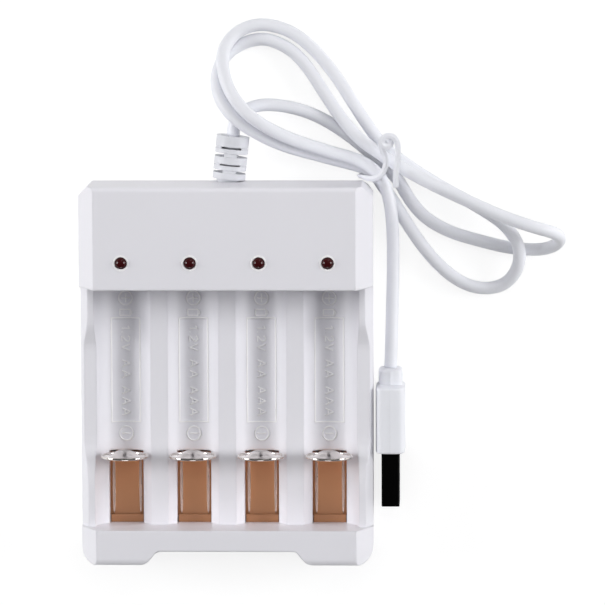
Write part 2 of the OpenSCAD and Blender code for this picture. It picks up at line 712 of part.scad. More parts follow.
// Boot: five discs on a core, joined in turn at the sides and at the middle so that it can bend
module strain_relief() {
    r = boot_d / 2;
    web = boot_core_d - 0.4;
    tiers = [[0.6, 2.2], [2.9, 4], [4.4, 6.2], [7.1, 8.2], [8.7, boot_l]];
    color(shell_white) {
        rod(boot_x, head_y - wall, boot_z, 2 * flange_r, flange_t);
        rod(boot_x, head_y + 1.2, boot_z, 2 * neck_r, wall + 1.2);
        translate([boot_x, head_y, boot_z]) rotate([0, 0, -boot_lean]) rotate([-90, 0, 0]) {
            cylinder(d = boot_core_d, h = boot_l);
            for (t = tiers) translate([0, 0, t[0]]) cylinder(r = r, h = t[1] - t[0]);
            for (k = [0:len(tiers) - 2]) intersection() {
                translate([0, 0, tiers[k][1] - 0.1])
                    cylinder(r = r - 0.2, h = tiers[k + 1][0] - tiers[k][1] + 0.2);
                if (k % 2 == 0) block(-web / 2, web / 2, -r, r, 0, boot_l);
                else for (s = [-1, 1]) block(s * r - 0.4 * r, s * r + 0.4 * r, -r, r, 0, boot_l);
            }
        }
    }
}

module usb_cable() {
    color(shell_white) tube(cord_route, cord_d / 2, 8);
}

// Outline of width w across the plug and thickness t, with rounded corners
module plug_outline(w, t, r) {
    polygon(rounded([[-t / 2, -w / 2], [t / 2, -w / 2], [t / 2, w / 2], [-t / 2, w / 2]], [r, r, r, r], 4));
}

module plug_body() {
    y1 = plug_y - neck_l;
    color(shell_white) translate([plug_x, 0, plug_z]) {
        along_y(y1 - 0.5, plug_y) plug_outline(neck_w, neck_t, 2.2);
        along_y(shell_y, y1) plug_outline(plug_w, plug_t, 1.8);
    }
}

module plug_shell() {
    hole = 2.3;
    color([0.05, 0.05, 0.05]) translate([plug_x, 0, plug_z]) difference() {
        along_y(shell_y - shell_l, shell_y) plug_outline(shell_w, shell_t, 0.6);
        along_y(shell_y - shell_l - over, shell_y + over)
            plug_outline(shell_w - 2 * shell_sheet, shell_t - 2 * shell_sheet, 0.3);
        for (s = [-1, 1])
            block(-shell_t, shell_t, shell_y - shell_l + 5, shell_y - shell_l + 5 + hole,
                s * 3 - hole / 2, s * 3 + hole / 2);
    }
}

module plug_tongue() {
    inner_t = shell_t / 2 - shell_sheet;
    inner_w = shell_w / 2 - shell_sheet;
    front_y = shell_y - shell_l + tongue_back;
    color([0.9, 0.9, 0.9]) translate([plug_x, 0, plug_z])
        block(-inner_t, tongue_t - inner_t, front_y, shell_y, 0.3 - inner_w, inner_w - 0.3);
}

module plug_pins() {
    x = tongue_t - shell_t / 2 + shell_sheet;
    color([0.85, 0.68, 0.3]) translate([plug_x, 0, plug_z]) for (z = [-3.5, -1, 1, 3.5])
        block(x, x + pin_t, shell_y - shell_l + tongue_back + 0.6, shell_y - 2, z - pin_w / 2, z + pin_w / 2);
}

module twist_tie() {
    color(shell_white) tube(tie_route, tie_d / 2, 6);
}

front_housing();
back_cover();
circuit_board();
control_chip();
sense_resistors();
for (i = [0:bays - 1]) {
    led(i);
    positive_contact(i);
    contact_disc(i);
    slide_strip(i);
    return_spring(i);
}
negative_bus();
lead_wires();
cover_screws();
strain_relief();
usb_cable();
plug_body();
plug_shell();
plug_tongue();
plug_pins();
twist_tie();
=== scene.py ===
"""Looks of a four-bay battery charger with a USB lead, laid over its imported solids."""

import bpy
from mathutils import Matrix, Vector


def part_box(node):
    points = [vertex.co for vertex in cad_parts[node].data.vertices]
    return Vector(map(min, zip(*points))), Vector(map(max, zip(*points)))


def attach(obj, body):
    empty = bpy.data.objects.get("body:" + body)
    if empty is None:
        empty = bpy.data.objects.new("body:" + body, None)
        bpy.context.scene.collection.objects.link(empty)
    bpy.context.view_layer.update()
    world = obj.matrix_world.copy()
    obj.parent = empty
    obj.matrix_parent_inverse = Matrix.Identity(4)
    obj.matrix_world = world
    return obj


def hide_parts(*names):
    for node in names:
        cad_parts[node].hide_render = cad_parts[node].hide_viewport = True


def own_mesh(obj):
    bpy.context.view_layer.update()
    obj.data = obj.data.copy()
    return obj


bl_info = {
    "name": "Four-Bay Battery Charger",
    "version": (1, 0, 0),
    "blender": (4, 5, 0),
    "location": "View3D > Sidebar > Charger",
    "description": "Dresses the charger's solids: shells, contacts, lamps, marks, lead, plug, tie and stage",
    "category": "Object",
}

import bmesh
import bpy
import numpy as np
from bpy.props import FloatProperty, FloatVectorProperty, PointerProperty
from mathutils import Matrix

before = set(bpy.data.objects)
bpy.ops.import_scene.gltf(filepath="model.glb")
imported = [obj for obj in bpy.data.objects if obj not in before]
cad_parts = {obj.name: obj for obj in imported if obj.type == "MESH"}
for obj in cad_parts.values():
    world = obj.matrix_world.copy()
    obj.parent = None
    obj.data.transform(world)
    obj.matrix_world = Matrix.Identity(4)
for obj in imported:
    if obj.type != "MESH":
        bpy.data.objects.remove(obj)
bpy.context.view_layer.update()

MM = 0.001
BAYS = (1, 2, 3, 4)
# Points of a mesh that are closer than this, in metres, become one.
WELD = 1e-7

# Route of the lead from the boot to the plug, in millimetres: the points of the lead's own solid.
LEAD_ROUTE = np.array([
    (1.59, 58.84, 8), (2, 62, 8), (4.4, 65, 7.4), (8.8, 66.4, 6.2), (15, 65.8, 4.4), (22, 63.5, 3),
    (29.5, 59, 2.6), (37.4, 52.6, 3.2),
    (42.3, 47.6, 1.8), (45.7, 42, 1.6), (49.6, 37.6, 1.6), (55.5, 34.2, 1.6), (62.5, 32, 1.6),
    (70, 30.2, 1.6), (76.5, 29.6, 1.9), (80.4, 30.2, 3), (82.8, 31.9, 5.9), (82.8, 33.9, 9.4),
    (80.6, 35.2, 12.1), (76.2, 36.6, 13.7), (68.5, 39.2, 12.8), (60, 42.8, 11), (51.5, 46.6, 8.8),
    (44.5, 50.2, 7), (38.4, 54, 6.1),
    (33, 58, 6.2), (28.5, 63, 5), (24, 69.5, 3.2), (20, 75.5, 2), (15.5, 80, 1.6), (9.5, 82.5, 1.6),
    (4, 81.5, 1.8), (-0.5, 78.4, 3.4), (-2.5, 73.5, 6.4), (-1.6, 68.4, 9.4), (1.8, 63.8, 11.4),
    (7, 60, 10.2), (14.5, 56.2, 7.2), (25.5, 52.8, 4),
    (35.4, 49.8, 3.2),
    (39.2, 45.2, 3.3), (42.6, 40.2, 4), (45.8, 35, 3.5), (49.7, 29.4, 2.4), (54.4, 24.3, 1.6),
    (59.5, 20.9, 1.6), (64.8, 19.8, 1.6), (69.6, 21.2, 2.4), (72.6, 25.4, 4.2), (72.8, 30.8, 5.4),
    (69.2, 36.2, 5.4), (62, 41, 4.2), (53.2, 45.8, 3.2), (45.6, 50.6, 3),
    (39.4, 55.4, 3.2),
    (35.4, 60.6, 3), (31.5, 66.5, 3), (27, 73.5, 2.4), (21.5, 80, 1.8), (15.5, 84.5, 1.7),
    (8.5, 86.2, 1.8), (2.6, 84.4, 3.4), (-0.8, 79.8, 6.6), (-0.4, 73.8, 9.8), (2.2, 68.4, 12.4),
    (7, 63.4, 13), (14.8, 58.8, 10.6), (25, 55, 7.6), (31.5, 53, 6.2),
    (35.6, 51, 6.4),
    (38.6, 47.8, 6.8), (40.3, 43.6, 7.2), (41.1, 38.5, 7), (41.4, 32.5, 6.2), (41.4, 24, 5.8),
    (41.2, 15, 6.4), (41, 7, 7.5), (40.8, 0.6, 7.8),
])

# Route of the tie: beside the strands, under them, up and over, round a small knob and down as a tail.
TIE_ROUTE = np.array([
    (40.2, 57.4, 9), (40.9, 57.3, 8), (41.1, 57.1, 5.2), (41, 57, 2.4), (40.4, 56.5, 0.9), (39.4, 55.4, 0.6),
    (37.4, 52.6, 0.6), (35.6, 50.2, 0.6), (34.4, 48.9, 0.7), (33.5, 48.3, 1.6), (33, 48.1, 3.4),
    (32.9, 48.4, 5.2), (33.5, 48.4, 6.6), (34.7, 48.2, 7.7), (36.2, 48.1, 8.6), (37.8, 48.6, 9.2),
    (39, 49.9, 9.4), (39.7, 51.8, 9.4), (39.5, 53.8, 9.4),
    (38.8, 55.5, 9.8), (38.5, 57.1, 10.3), (39.2, 58.6, 10.7), (40.5, 58.9, 11), (41.2, 57.8, 11.2),
    (40.6, 56.6, 11.4), (39.3, 56.5, 11.6), (38.6, 57.5, 11.8), (39.2, 58.7, 12), (40.5, 59.2, 12.2),
    (41.8, 58.7, 12.2),
    (42.6, 57.2, 11.8), (42.7, 55, 11.4), (42.5, 52, 10.9), (42.2, 49, 10.4), (42.1, 46, 9.9),
])

# Strokes of the moulded letters: (across, along) in units of the letter height, read down the bay.
GLYPHS = {
    "1": [[(0.72, 0.0), (1.0, 0.3), (0.0, 0.3)]],
    ".": [[(0.0, 0.0), (0.06, 0.06)]],
    "2": [[(0.75, 0.0), (0.95, 0.16), (1.0, 0.36), (0.9, 0.58), (0.68, 0.66), (0.4, 0.46), (0.0, 0.0),
           (0.0, 0.7)]],
    "V": [[(1.0, 0.0), (0.0, 0.38), (1.0, 0.76)]],
    "A": [[(0.0, 0.0), (1.0, 0.41), (0.0, 0.82)], [(0.32, 0.14), (0.32, 0.68)]],
}
GLYPH_STEP = {"1": 0.7, ".": 0.5, "2": 1.0, "V": 1.0, "A": 1.3}
# Each word and the place along the bay, in millimetres, where it starts.
MARK_WORDS = (("1.2V", 11.2), ("AA", 2.6), ("AAA", -4.2))
# Places of the other marks in a bay, in millimetres across and along.
RING_RADIUS = 1.75
PLUS_AT, MINUS_AT = (0, 18.3), (0, -15.9)
PLUS_BARS = np.array([(-1.1, 18.3), (1.1, 18.3)]), np.array([(0, 17.2), (0, 19.4)])
MINUS_BAR = np.array([(-1.1, -15.9), (1.1, -15.9)])
CELL_OUTLINE = np.array([(-1.5, 13.9), (1.2, 13.9), (1.2, 15.4), (-1.5, 15.4), (-1.5, 13.9)])
CELL_TIP = np.array([(1.2, 14.3), (1.6, 14.3), (1.6, 15.0), (1.2, 15.0)])
GROOVE_OUTLINE = np.array([(-3.8, 13.3), (3.8, 13.3), (3.8, -12.9), (-3.8, -12.9), (-3.8, 13.3)])
GROOVE_MIDDLE, GROOVE_HALF_LENGTH, GROOVE_HALF_WIDTH = 0.2, 12.9, 3.7
# Share of the marks' relief that the edge of the groove has.
GROOVE_RELIEF = 0.3

# Length of a slide strip, in millimetres, that shows between its disc and the ledge.
STRIP_SEEN = 15.6

# Turns beside the plug's parting line at which its section is sampled more closely.
SEAM_TURNS = np.outer((-1, 1), (0.00004, 0.0002, 0.0007)).ravel()

# Studio lamps: place and size in metres, and the setting that holds the power.
LAMPS = {
    "left_softbox": ((-0.88, 0.16, 0.36), 0.4, "side_power"),
    "right_softbox": ((0.88, 0.16, 0.36), 0.4, "side_power"),
    "head_softbox": ((0.35, 0.9, 0.5), 0.5, "head_power"),
    "top_softbox": ((0.02, 0.46, 1.2), 1.0, "top_power"),
    "foot_softbox": ((0, -0.9, 0.15), 0.25, "foot_power"),
}
LAMP_AIM = (0, 0, 0.01)


class ChargerFinish(bpy.types.PropertyGroup):
    """Colours of the charger's surfaces"""

    shell: FloatVectorProperty(
        name="Shell", description="White of the moulded shells",
        subtype="COLOR", default=(0.845, 0.838, 0.888), min=0, max=1)
    lead: FloatVectorProperty(
        name="Lead", description="White of the lead, boot and plug",
        subtype="COLOR", default=(0.87, 0.88, 0.93), min=0, max=1)
    nickel: FloatVectorProperty(
        name="Nickel", description="Plating of the contacts",
        subtype="COLOR", default=(0.72, 0.68, 0.65), min=0, max=1)
    copper: FloatVectorProperty(
        name="Copper", description="Sheet of the slide strips",
        subtype="COLOR", default=(0.8, 0.38, 0.188), min=0, max=1)
    lamp: FloatVectorProperty(
        name="Lamp", description="Resin of the indicator lamps",
        subtype="COLOR", default=(0.04, 0.002, 0.003), min=0, max=1)


class ChargerLead(bpy.types.PropertyGroup):
    """Sizes of the lead and its tie"""

    diameter: FloatProperty(
        name="Diameter", description="Diameter of the lead", default=3.2 * MM, unit="LENGTH")
    length: FloatProperty(
        name="Length", description="Length of the lead from the boot to the plug",
        default=0.532, unit="LENGTH")
    tie_width: FloatProperty(
        name="Tie width", description="Width of the flat tie", default=1.45 * MM, unit="LENGTH")
    tie_thickness: FloatProperty(
        name="Tie thickness", description="Thickness of the flat tie", default=0.6 * MM, unit="LENGTH")


class ChargerMarks(bpy.types.PropertyGroup):
    """Sizes of the moulded marks in the bays"""

    letter: FloatProperty(
        name="Letter height", description="Height of the letters", default=2.1 * MM, unit="LENGTH")
    ridge: FloatProperty(
        name="Ridge width", description="Width of a moulded line", default=0.36 * MM, unit="LENGTH")
    relief: FloatProperty(
        name="Relief", description="Height of a moulded line", default=0.34 * MM, unit="LENGTH")
    bay_radius: FloatProperty(
        name="Bay radius", description="Radius of the round bays", default=7.5 * MM, unit="LENGTH")
    groove_radius: FloatProperty(
        name="Groove radius", description="Radius of the groove for the smaller cell",
        default=5.4 * MM, unit="LENGTH")
    groove_depth: FloatProperty(
        name="Groove depth", description="Depth of that groove", default=0.35 * MM, unit="LENGTH")


class ChargerStage(bpy.types.PropertyGroup):
    """Camera and studio light"""

    distance: FloatProperty(
        name="Distance", description="Distance of the camera", default=1.19, unit="LENGTH")
    tilt: FloatProperty(
        name="Tilt", description="Tilt of the view towards the head",
        default=np.radians(6.9), subtype="ANGLE")
    swing: FloatProperty(
        name="Swing", description="Swing of the view to the right",
        default=np.radians(1.864), subtype="ANGLE")
    roll: FloatProperty(
        name="Roll", description="Roll of the camera", default=np.radians(-0.193), subtype="ANGLE")
    target: FloatVectorProperty(
        name="Target", description="Point at the middle of the picture",
        subtype="TRANSLATION", default=(0.01883, 0.01724, 0.01049))
    lens: FloatProperty(
        name="Lens", description="Focal length in millimetres on a 36 mm sensor", default=283.5)
    side_power: FloatProperty(
        name="Side lamps", description="Power of each side lamp in watts", default=5.3)
    head_power: FloatProperty(
        name="Head lamp", description="Power of the lamp beyond the head in watts", default=0.7)
    foot_power: FloatProperty(
        name="Foot lamp", description="Power of the low lamp beyond the feet in watts", default=1.0)
    top_power: FloatProperty(
        name="Top lamp", description="Power of the lamp above in watts", default=5.1)
    sky: FloatProperty(
        name="Sky", description="Strength of the soft light from all round", default=0.13)


# Geometry helpers


def corners(node):
    """Lowest and highest corner of a node at rest, as arrays."""
    low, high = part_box(node)
    return np.array(low), np.array(high)


def unit(v):
    """Each vector divided by its length."""
    return v / np.maximum(np.linalg.norm(v, axis=-1, keepdims=True), 1e-12)


def grid_faces(rows, columns, loop=False):
    """Quads of a grid of rows by columns, closed across the columns, and along the rows when loop is set."""
    i = np.arange(rows if loop else rows - 1)[:, None]
    j = np.arange(columns)[None, :]
    below, beside = (i + 1) % rows * columns, (j + 1) % columns
    quads = [i * columns + j, i * columns + beside, below + beside, below + j]
    return np.stack(quads, axis=-1).reshape(-1, 4)


def mesh_object(name, points, faces, look, crease=None):
    """Puts points in metres and faces into a new mesh object, welds its poles and shades it smooth.

    Edges that turn by more than the crease, in degrees, stay sharp.
    """
    mesh = bpy.data.meshes.new(name)
    mesh.from_pydata(points.reshape(-1, 3).tolist(), [], faces.tolist())
    weld = bmesh.new()
    weld.from_mesh(mesh)
    bmesh.ops.remove_doubles(weld, verts=weld.verts, dist=WELD)
    weld.to_mesh(mesh)
    weld.free()
    mesh.shade_smooth()
    if crease is not None:
        mesh.set_sharp_from_angle(angle=np.radians(crease))
    mesh.materials.append(look)
    piece = bpy.data.objects.new(name, mesh)
    bpy.context.scene.collection.objects.link(piece)
    return piece


def round_turn(count):
    """Angles of one full turn in even steps."""
    return np.linspace(0, 2 * np.pi, count, endpoint=False)


def circle(radius, sides):
    """Points of a circle as (across, beside)."""
    turn = round_turn(sides)
    return radius * np.stack([np.cos(turn), np.sin(turn)], axis=1)


def lathe(profile, centre, axis, sides=64, loop=False):
    """Surface of revolution: each (radius, height) of the profile turns about the axis through the centre.

    The profile runs from the lower pole outwards and up to the upper pole, or round a closed loop in that
    sense.
    """
    axis = np.asarray(axis, float)
    across = np.array([0.0, 0.0, 1.0]) if abs(axis[1]) > 0.5 else np.array([1.0, 0.0, 0.0])
    beside = np.cross(axis, across)
    turn = round_turn(sides)
    ring = np.cos(turn)[:, None] * across + np.sin(turn)[:, None] * beside
    radius, height = profile[:, 0], profile[:, 1]
    points = np.asarray(centre) + radius[:, None, None] * ring[None] + height[:, None, None] * axis
    return points, grid_faces(len(profile), sides, loop)


def smooth_path(route, spacing, width):
    """A curve through the route: cubic between the points, set at even spacing, then averaged over a width.

    The average fades out towards both ends, so the ends and their directions stay.
    """
    steps = 24
    q = np.vstack([2 * route[0] - route[1], route, 2 * route[-1] - route[-2]])
    t = np.linspace(0, 1, steps, endpoint=False)[:, None]
    a, b, c, d = (q[k : len(q) - 3 + k][:, None, :] for k in range(4))
    cubic = 0.5 * (2 * b + (c - a) * t + (2 * a - 5 * b + 4 * c - d) * t**2 + (3 * b - a - 3 * c + d) * t**3)
    dense = np.vstack([cubic.reshape(-1, 3), route[-1:]])
    along = np.concatenate([[0], np.cumsum(np.linalg.norm(np.diff(dense, axis=0), axis=1))])
    even = np.linspace(0, along[-1], int(along[-1] / spacing))
    path = np.stack([np.interp(even, along, dense[:, k]) for k in range(3)], axis=1)
    half = int(width / spacing / 2)
    kernel = np.hanning(2 * half + 3)[1:-1]
    kernel /= kernel.sum()
    ends = np.vstack([2 * path[:1] - path[half:0:-1], path, 2 * path[-1:] - path[-2 : -half - 2 : -1]])
    mean = np.stack([np.convolve(ends[:, k], kernel, mode="valid") for k in range(3)], axis=1)
    edge = np.minimum(even, even[-1] - even)[:, None]
    keep = np.clip(edge / width, 0, 1)
    return path + (mean - path) * keep


def sweep(path, rings, lean):
    """Carries rings of (across, beside) offsets along a path.

    Across is the direction square to the path that is closest to lean, and beside is square to both.
    """
    along = unit(np.gradient(path, axis=0))
    lean = np.broadcast_to(np.asarray(lean, float), path.shape)
    across = unit(lean - np.sum(lean * along, axis=1, keepdims=True) * along)
    beside = np.cross(along, across)
    points = path[:, None] + rings[..., :1] * across[:, None] + rings[..., 1:] * beside[:, None]
    return points, grid_faces(rings.shape[0], rings.shape[1])


def capped(path, rings):
    """Closes both ends of a sweep by a ring of no size, a small share of a step further out."""
    share = 1e-4
    start = path[:1] - (path[1:2] - path[:1]) * share
    end = path[-1:] + (path[-1:] - path[-2:-1]) * share
    return np.vstack([start, path, end]), np.concatenate([rings[:1] * 0, rings, rings[-1:] * 0])


# Materials


def add(tree, *kinds):
    """New shader nodes of the given kinds."""
    return [tree.nodes.new(f"ShaderNode{kind}") for kind in kinds]


def wire(tree, *pairs):
    """Links each pair of an output and an input socket."""
    for start, end in pairs:
        tree.links.new(start, end)


def mottle_group():
    """Node group: a colour that drifts between two shades, and a fine grain for roughness and bump."""
    group = bpy.data.node_groups.new("moulded_mottle", "ShaderNodeTree")
    grey = (0.8, 0.8, 0.8, 1)
    inputs = (("Vector", "Vector", None), ("Shade A", "Color", grey), ("Shade B", "Color", grey),
              ("Drift Scale", "Float", 40.0), ("Grain Scale", "Float", 3000.0),
              ("Rough Low", "Float", 0.3), ("Rough High", "Float", 0.4))
    for name, kind, default in inputs:
        made = group.interface.new_socket(name, in_out="INPUT", socket_type=f"NodeSocket{kind}")
        if default is not None:
            made.default_value = default
    for name, kind in (("Color", "Color"), ("Roughness", "Float"), ("Height", "Float")):
        group.interface.new_socket(name, in_out="OUTPUT", socket_type=f"NodeSocket{kind}")
    enter, leave = group.nodes.new("NodeGroupInput").outputs, group.nodes.new("NodeGroupOutput").inputs
    drift, grain, mix, rough = add(group, "TexNoise", "TexNoise", "Mix", "MapRange")
    drift.inputs["Detail"].default_value = 3
    grain.inputs["Detail"].default_value = 2
    mix.data_type = "RGBA"
    wire(group,
         (enter["Vector"], drift.inputs["Vector"]), (enter["Vector"], grain.inputs["Vector"]),
         (enter["Drift Scale"], drift.inputs["Scale"]), (enter["Grain Scale"], grain.inputs["Scale"]),
         (drift.outputs["Fac"], mix.inputs["Factor"]),
         (enter["Shade A"], mix.inputs["A"]), (enter["Shade B"], mix.inputs["B"]),
         (grain.outputs["Fac"], rough.inputs["Value"]),
         (enter["Rough Low"], rough.inputs["To Min"]), (enter["Rough High"], rough.inputs["To Max"]),
         (mix.outputs["Result"], leave["Color"]), (rough.outputs["Result"], leave["Roughness"]),
         (grain.outputs["Fac"], leave["Height"]))
    return group


def finish(name, shade, drift, grain, rough, bump, edge=0.0, stretch=(1, 1, 1), metal=0.0, coat=0.0,
           specular=0.5, painted_light_ramp=None):
    """A material from the mottle group, whose shade drifts up and down by a share.

    Edge, in millimetres, rounds the normals of sharp edges. Painted light ramp gives a place along Y and the
    share of the colour there, for a darker and a brighter end: painted shade at one, painted light at the
    other.
    """
    coat_roughness, bump_strength, bevel_samples = 0.08, 0.5, 6
    made = bpy.data.materials.new(name)
    made.use_nodes = True
    tree = made.node_tree
    shader = tree.nodes["Principled BSDF"].inputs
    shader["Metallic"].default_value = metal
    shader["Coat Weight"].default_value = coat
    shader["Coat Roughness"].default_value = coat_roughness
    shader["Specular IOR Level"].default_value = specular
    place, turn, mottle, relief = add(tree, "TexCoord", "Mapping", "Group", "Bump")
    turn.inputs["Scale"].default_value = stretch
    mottle.node_tree = bpy.data.node_groups.get("moulded_mottle") or mottle_group()
    shade = np.asarray(shade, float)
    mottle.inputs["Shade A"].default_value = (*np.clip(shade * (1 - drift), 0, 1), 1)
    mottle.inputs["Shade B"].default_value = (*np.clip(shade * (1 + drift), 0, 1), 1)
    mottle.inputs["Grain Scale"].default_value = grain
    mottle.inputs["Rough Low"].default_value, mottle.inputs["Rough High"].default_value = rough
    relief.inputs["Strength"].default_value = bump_strength
    relief.inputs["Distance"].default_value = bump * MM
    colour = mottle.outputs["Color"]
    # Painted light and shade: the base colour is scaled along Y, darker at one end and lighter at the other.
    if painted_light_ramp:
        split, fade, painted_shade_scale = add(tree, "SeparateXYZ", "MapRange", "VectorMath")
        for (end, share), limit in zip(painted_light_ramp, ("Min", "Max")):
            fade.inputs[f"From {limit}"].default_value = end
            fade.inputs[f"To {limit}"].default_value = share
        painted_shade_scale.operation = "SCALE"
        wire(tree,
             (place.outputs["Object"], split.inputs["Vector"]), (split.outputs["Y"], fade.inputs["Value"]),
             (colour, painted_shade_scale.inputs["Vector"]), (fade.outputs["Result"], painted_shade_scale.inputs["Scale"]))
        colour = painted_shade_scale.outputs["Vector"]
    wire(tree,
         (place.outputs["Object"], turn.inputs["Vector"]), (turn.outputs["Vector"], mottle.inputs["Vector"]),
         (colour, shader["Base Color"]), (mottle.outputs["Roughness"], shader["Roughness"]),
         (mottle.outputs["Height"], relief.inputs["Height"]), (relief.outputs["Normal"], shader["Normal"]))
    if edge:
        (soften,) = add(tree, "Bevel")
        soften.samples = bevel_samples
        soften.inputs["Radius"].default_value = edge * MM
        wire(tree, (soften.outputs["Normal"], relief.inputs["Normal"]))
    return made


def finishes(tone):
    """Every finish: shade, share of drift, scale of the grain, range of roughness, bump (mm) and extras.

    Painted light and shade on the strips: lighter at the disc, against its shadow, darker under the ledge.
    """
    shell, lead = np.array(tone.shell), np.array(tone.lead)
    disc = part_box("contact_disc_1")[0][1]
    # Painted light at the disc end and painted shade at the ledge end of each strip.
    painted_light_ramp = (disc - STRIP_SEEN * MM, 0.64), (disc, 1.24)
    along_strip, along_board = (1, 0.06, 1), (0.2, 1, 1)
    return {
        "shell_plastic": (shell, 0.015, 5000, (0.34, 0.42), 0.004, {"edge": 0.7}),
        # The shell's own plastic made brighter: a painted highlight on the marks' ridges and the lamps'
        # collars.
        "mark_plastic": (np.minimum(shell * 1.16, 0.99), 0.015, 5000, (0.34, 0.42), 0.004, {}),
        "lead_vinyl": (lead, 0.02, 2500, (0.38, 0.48), 0.008, {"edge": 0.3}),
        "boot_vinyl": (lead * 0.8, 0.03, 2500, (0.42, 0.52), 0.01, {"edge": 0.2}),
        "tie_vinyl": (lead, 0.02, 2500, (0.4, 0.5), 0.01, {}),
        "nickel_plate": (tone.nickel, 0.05, 1800, (0.06, 0.12), 0.004, {"metal": 1.0}),
        "copper_sheet": (tone.copper, 0.1, 1500, (0.32, 0.45), 0.01,
                         {"edge": 0.2, "stretch": along_strip, "metal": 0.12, "painted_light_ramp": painted_light_ramp}),
        # Paler copper on the fold beads: partly real gloss, partly a painted highlight along the folds.
        "copper_fold": ((0.92, 0.72, 0.62), 0.05, 1500, (0.22, 0.32), 0.004,
                        {"stretch": along_strip, "metal": 0.5}),
        "spring_wire": ((0.55, 0.55, 0.56), 0.06, 3000, (0.25, 0.35), 0.005, {"metal": 1.0}),
        "lamp_resin": (tone.lamp, 0.1, 900, (0.08, 0.12), 0.002, {"coat": 0.65, "specular": 0.0}),
        "plug_black": ((0.0012, 0.0012, 0.0012), 0.2, 2000, (0.35, 0.45), 0.004,
                       {"edge": 0.15, "specular": 0.04}),
        "plug_tongue": ((0.7, 0.7, 0.72), 0.03, 2500, (0.45, 0.55), 0.006, {}),
        "pin_gold": ((0.8, 0.55, 0.2), 0.05, 2500, (0.15, 0.25), 0.003, {"metal": 1.0}),
        "phenolic_board": ((0.28, 0.14, 0.05), 0.15, 1200, (0.5, 0.65), 0.02, {"stretch": along_board}),
        "chip_epoxy": ((0.02, 0.02, 0.021), 0.2, 4000, (0.55, 0.7), 0.01, {"edge": 0.1}),
        "wire_jacket": ((0.5, 0.03, 0.02), 0.1, 2000, (0.35, 0.45), 0.005, {}),
        "screw_zinc": ((0.5, 0.5, 0.52), 0.08, 2000, (0.25, 0.4), 0.01, {"edge": 0.1, "metal": 1.0}),
    }


def material(name):
    """A material by name, made with the colours of the panel when it is first asked for."""
    made = bpy.data.materials.get(name)
    if made:
        return made
    *values, extras = finishes(bpy.context.scene.charger_finish)[name]
    return finish(name, *values, **extras)


class ChargerOperator:
    """What all operators of the charger share"""

    bl_options = {"REGISTER", "UNDO"}


class CHARGER_OT_camera(ChargerOperator, bpy.types.Operator):
    """Sets the camera: it looks from a distance along a line tilted to the head and swung to the right"""

    bl_idname = "charger.camera"
    bl_label = "Camera"

    def execute(self, context):
        view = context.scene.charger_stage
        sensor, near, far = 36, 0.05, 20
        tilt, swing, roll = view.tilt, view.swing, view.roll
        back = np.array([np.sin(swing), np.sin(tilt) * np.cos(swing), np.cos(tilt) * np.cos(swing)])
        right = unit(np.cross([0, 1, 0], back))
        up = np.cross(back, right)
        right, up = right * np.cos(roll) + up * np.sin(roll), up * np.cos(roll) - right * np.sin(roll)
        lens = bpy.data.cameras.new("photo_camera")
        lens.lens, lens.sensor_width = view.lens, sensor
        lens.clip_start, lens.clip_end = near, far
        camera = bpy.data.objects.new("photo_camera", lens)
        place = np.eye(4)
        place[:3, :3] = np.stack([right, up, back], axis=1)
        place[:3, 3] = np.array(view.target) + view.distance * back
        camera.matrix_world = Matrix(place.tolist())
        context.scene.collection.objects.link(camera)
        context.scene.camera = camera
        return {"FINISHED"}


class CHARGER_OT_overmould(ChargerOperator, bpy.types.Operator):
    """Makes the plug's overmould: a rounded rectangle along the plug, small at the neck and full at the grip

    The section at a turn is the half size times the cosine and sine to a low power, which squares the circle,
    and a narrow bell-shaped ridge stands along its upper middle.
    """

    bl_idname = "charger.overmould"
    bl_label = "Plug overmould"

    def execute(self, context):
        low, high = corners("plug_body")
        middle = (low + high) / 2
        neck, neck_length = np.array([3.0, 4.0]) * MM, 4.3 * MM
        grip, grip_rings = (high - low)[[0, 2]] / 2, 6
        end_round, shoulder_round, neck_round = 0.4 * MM, 0.6 * MM, 0.9 * MM
        neck_foot, grip_start, grip_end = 0.3 * MM, 1.5 * MM, 1.0 * MM
        corner_power, seam_rise, seam_width, sides = 0.42, 0.07 * MM, 0.12 * MM, 96
        shoulder = high[1] - neck_length
        bend = np.linspace(0, np.pi / 2, 7)
        rise, fall = np.sin(bend)[:, None], np.cos(bend)[:, None]
        y = np.concatenate([
            high[1] - neck_round + neck_round * np.cos(bend),
            [shoulder + neck_foot],
            shoulder - shoulder_round + shoulder_round * np.cos(bend),
            np.linspace(shoulder - grip_start, low[1] + grip_end, grip_rings),
            low[1] + end_round - end_round * np.sin(bend),
        ])
        size = np.vstack([
            neck - neck_round + neck_round * rise,
            neck[None],
            grip - shoulder_round + shoulder_round * rise,
            np.repeat(grip[None], grip_rings, axis=0),
            grip - end_round + end_round * fall,
        ])
        turn = np.sort(np.concatenate([round_turn(sides), np.pi / 2 + SEAM_TURNS]))
        wave = np.stack([np.cos(turn), np.sin(turn)], axis=1)
        rings = size[:, None] * (np.sign(wave) * np.abs(wave) ** corner_power)[None]
        rings[..., 1] += (rings[..., 1] > 0) * seam_rise * np.exp(-((rings[..., 0] / seam_width) ** 2))
        y = np.concatenate([y[:1], y, y[-1:]])
        rings = np.concatenate([rings[:1] * 0, rings, rings[-1:] * 0])
        along = np.broadcast_to(y[:, None], rings.shape[:2])
        points = np.stack([middle[0] + rings[..., 0], along, middle[2] + rings[..., 1]], axis=-1)
        faces = grid_faces(*rings.shape[:2])
        piece = mesh_object("plug_overmould", points, faces, material("lead_vinyl"), crease=50)
        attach(piece, "housing")
        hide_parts("plug_body")
        return {"FINISHED"}


